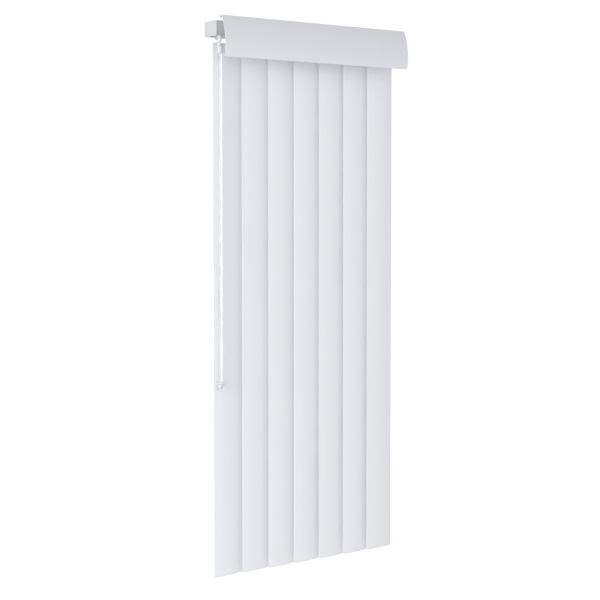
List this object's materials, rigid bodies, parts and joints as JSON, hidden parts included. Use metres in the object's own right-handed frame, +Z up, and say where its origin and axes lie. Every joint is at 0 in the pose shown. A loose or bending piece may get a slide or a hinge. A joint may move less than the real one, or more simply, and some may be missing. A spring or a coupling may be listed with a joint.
{
  "type": "wand-operated vertical blind",
  "caption": "White vertical blind with curved plastic vanes, a slotted headrail, a curved valance and a clear tilt wand.",
  "frame": {"origin": "ceiling plane, half way between the two ceiling clips, above the line of the vane stems", "axes": "+X along the headrail to the side where the vanes stack, +Y towards the window wall, +Z up"},
  "size_m": [0.5602, 0.0819, 1.2736],
  "materials": {
    "vane_pvc": "satin",
    "painted_rail": "satin",
    "valance_pvc": "satin",
    "white_moulding": "satin",
    "clear_moulding": "glossy",
    "acrylic": "glossy",
    "spring_steel": "satin",
    "rod_aluminium": "satin"
  },
  "bodies": {
    "frame": {"headrail": "painted_rail", "end_cap_left": "white_moulding", "end_cap_right": "white_moulding", "mount_clip_left": "spring_steel", "mount_clip_right": "spring_steel", "valance": "valance_pvc", "valance_clip_left": "clear_moulding", "valance_clip_middle": "clear_moulding", "valance_clip_right": "clear_moulding", "end_stop": "white_moulding", "carrier_7": "white_moulding", "spacer_6": "spring_steel"},
    "tilt_rod": {"tilt_rod": "rod_aluminium"},
    "lead_carrier": {"lead_carrier": "white_moulding"},
    "carrier_2": {"carrier_2": "white_moulding", "spacer_1": "spring_steel"},
    "carrier_3": {"carrier_3": "white_moulding", "spacer_2": "spring_steel"},
    "carrier_4": {"carrier_4": "white_moulding", "spacer_3": "spring_steel"},
    "carrier_5": {"carrier_5": "white_moulding", "spacer_4": "spring_steel"},
    "carrier_6": {"carrier_6": "white_moulding", "spacer_5": "spring_steel"},
    "worm_1": {"worm_1": "white_moulding"},
    "vane_1": {"vane_1": "vane_pvc", "stem_1": "white_moulding"},
    "worm_2": {"worm_2": "white_moulding"},
    "vane_2": {"vane_2": "vane_pvc", "stem_2": "white_moulding"},
    "worm_3": {"worm_3": "white_moulding"},
    "vane_3": {"vane_3": "vane_pvc", "stem_3": "white_moulding"},
    "worm_4": {"worm_4": "white_moulding"},
    "vane_4": {"vane_4": "vane_pvc", "stem_4": "white_moulding"},
    "worm_5": {"worm_5": "white_moulding"},
    "vane_5": {"vane_5": "vane_pvc", "stem_5": "white_moulding"},
    "worm_6": {"worm_6": "white_moulding"},
    "vane_6": {"vane_6": "vane_pvc", "stem_6": "white_moulding"},
    "worm_7": {"worm_7": "white_moulding"},
    "vane_7": {"vane_7": "vane_pvc", "stem_7": "white_moulding"},
    "wand_drive_shaft": {"wand_drive_shaft": "white_moulding"},
    "wand": {"wand_socket": "white_moulding", "wand": "acrylic", "wand_tip": "clear_moulding"}
  },
  "joints": [
    {"name": "draw", "type": "slide", "parent": "frame", "child": "lead_carrier", "axis": [1, 0, 0], "range_m": [0, 0.2985]},
    {"name": "carrier_2_slide", "type": "slide", "parent": "frame", "child": "carrier_2", "axis": [1, 0, 0], "range_m": [0, 0.245]},
    {"name": "carrier_3_slide", "type": "slide", "parent": "frame", "child": "carrier_3", "axis": [1, 0, 0], "range_m": [0, 0.196]},
    {"name": "carrier_4_slide", "type": "slide", "parent": "frame", "child": "carrier_4", "axis": [1, 0, 0], "range_m": [0, 0.147]},
    {"name": "carrier_5_slide", "type": "slide", "parent": "frame", "child": "carrier_5", "axis": [1, 0, 0], "range_m": [0, 0.098]},
    {"name": "carrier_6_slide", "type": "slide", "parent": "frame", "child": "carrier_6", "axis": [1, 0, 0], "range_m": [0, 0.049]},
    {"name": "tilt", "type": "hinge", "parent": "lead_carrier", "child": "vane_1", "pos_m": [-0.22725, 0, -0.0376], "axis": [0, 0, 1], "range_deg": [0, 165]},
    {"name": "worm_1_spin", "type": "hinge", "parent": "lead_carrier", "child": "worm_1", "pos_m": [-0.22725, 0.0108, -0.0376], "axis": [1, 0, 0], "range_deg": [0, 1980]},
    {"name": "vane_2_turn", "type": "hinge", "parent": "carrier_2", "child": "vane_2", "pos_m": [-0.14775, 0, -0.0376], "axis": [0, 0, 1], "range_deg": [0, 165]},
    {"name": "worm_2_spin", "type": "hinge", "parent": "carrier_2", "child": "worm_2", "pos_m": [-0.14775, 0.0108, -0.0376], "axis": [1, 0, 0], "range_deg": [0, 1980]},
    {"name": "vane_3_turn", "type": "hinge", "parent": "carrier_3", "child": "vane_3", "pos_m": [-0.07275, 0, -0.0376], "axis": [0, 0, 1], "range_deg": [0, 165]},
    {"name": "worm_3_spin", "type": "hinge", "parent": "carrier_3", "child": "worm_3", "pos_m": [-0.07275, 0.0108, -0.0376], "axis": [1, 0, 0], "range_deg": [0, 1980]},
    {"name": "vane_4_turn", "type": "hinge", "parent": "carrier_4", "child": "vane_4", "pos_m": [0.00225, 0, -0.0376], "axis": [0, 0, 1], "range_deg": [0, 165]},
    {"name": "worm_4_spin", "type": "hinge", "parent": "carrier_4", "child": "worm_4", "pos_m": [0.00225, 0.0108, -0.0376], "axis": [1, 0, 0], "range_deg": [0, 1980]},
    {"name": "vane_5_turn", "type": "hinge", "parent": "carrier_5", "child": "vane_5", "pos_m": [0.07725, 0, -0.0376], "axis": [0, 0, 1], "range_deg": [0, 165]},
    {"name": "worm_5_spin", "type": "hinge", "parent": "carrier_5", "child": "worm_5", "pos_m": [0.07725, 0.0108, -0.0376], "axis": [1, 0, 0], "range_deg": [0, 1980]},
    {"name": "vane_6_turn", "type": "hinge", "parent": "carrier_6", "child": "vane_6", "pos_m": [0.15225, 0, -0.0376], "axis": [0, 0, 1], "range_deg": [0, 165]},
    {"name": "worm_6_spin", "type": "hinge", "parent": "carrier_6", "child": "worm_6", "pos_m": [0.15225, 0.0108, -0.0376], "axis": [1, 0, 0], "range_deg": [0, 1980]},
    {"name": "vane_7_turn", "type": "hinge", "parent": "frame", "child": "vane_7", "pos_m": [0.22725, 0, -0.0376], "axis": [0, 0, 1], "range_deg": [0, 165]},
    {"name": "worm_7_spin", "type": "hinge", "parent": "frame", "child": "worm_7", "pos_m": [0.22725, 0.0108, -0.0376], "axis": [1, 0, 0], "range_deg": [0, 1980]},
    {"name": "tilt_rod_spin", "type": "hinge", "parent": "frame", "child": "tilt_rod", "pos_m": [0, 0.0108, -0.0376], "axis": [1, 0, 0], "range_deg": [0, 1980]},
    {"name": "drive_shaft_spin", "type": "hinge", "parent": "lead_carrier", "child": "wand_drive_shaft", "pos_m": [-0.27465, -0.034, -0.0658], "axis": [0, 0, 1], "range_deg": [0, 1980]},
    {"name": "wand_swing", "type": "hinge", "parent": "wand_drive_shaft", "child": "wand", "pos_m": [-0.27465, -0.034, -0.0658], "axis": [0, 1, 0], "range_deg": [0, 30]}
  ],
  "couplings": [
    {"joint": "carrier_2_slide", "follows": "draw", "ratio": 0.82077},
    {"joint": "carrier_3_slide", "follows": "draw", "ratio": 0.65662},
    {"joint": "carrier_4_slide", "follows": "draw", "ratio": 0.49246},
    {"joint": "carrier_5_slide", "follows": "draw", "ratio": 0.32831},
    {"joint": "carrier_6_slide", "follows": "draw", "ratio": 0.16415},
    {"joint": "worm_1_spin", "follows": "tilt", "ratio": 12},
    {"joint": "vane_2_turn", "follows": "tilt", "ratio": 1},
    {"joint": "worm_2_spin", "follows": "tilt", "ratio": 12},
    {"joint": "vane_3_turn", "follows": "tilt", "ratio": 1},
    {"joint": "worm_3_spin", "follows": "tilt", "ratio": 12},
    {"joint": "vane_4_turn", "follows": "tilt", "ratio": 1},
    {"joint": "worm_4_spin", "follows": "tilt", "ratio": 12},
    {"joint": "vane_5_turn", "follows": "tilt", "ratio": 1},
    {"joint": "worm_5_spin", "follows": "tilt", "ratio": 12},
    {"joint": "vane_6_turn", "follows": "tilt", "ratio": 1},
    {"joint": "worm_6_spin", "follows": "tilt", "ratio": 12},
    {"joint": "vane_7_turn", "follows": "tilt", "ratio": 1},
    {"joint": "worm_7_spin", "follows": "tilt", "ratio": 12},
    {"joint": "tilt_rod_spin", "follows": "tilt", "ratio": 12},
    {"joint": "drive_shaft_spin", "follows": "tilt", "ratio": 12}
  ]
}
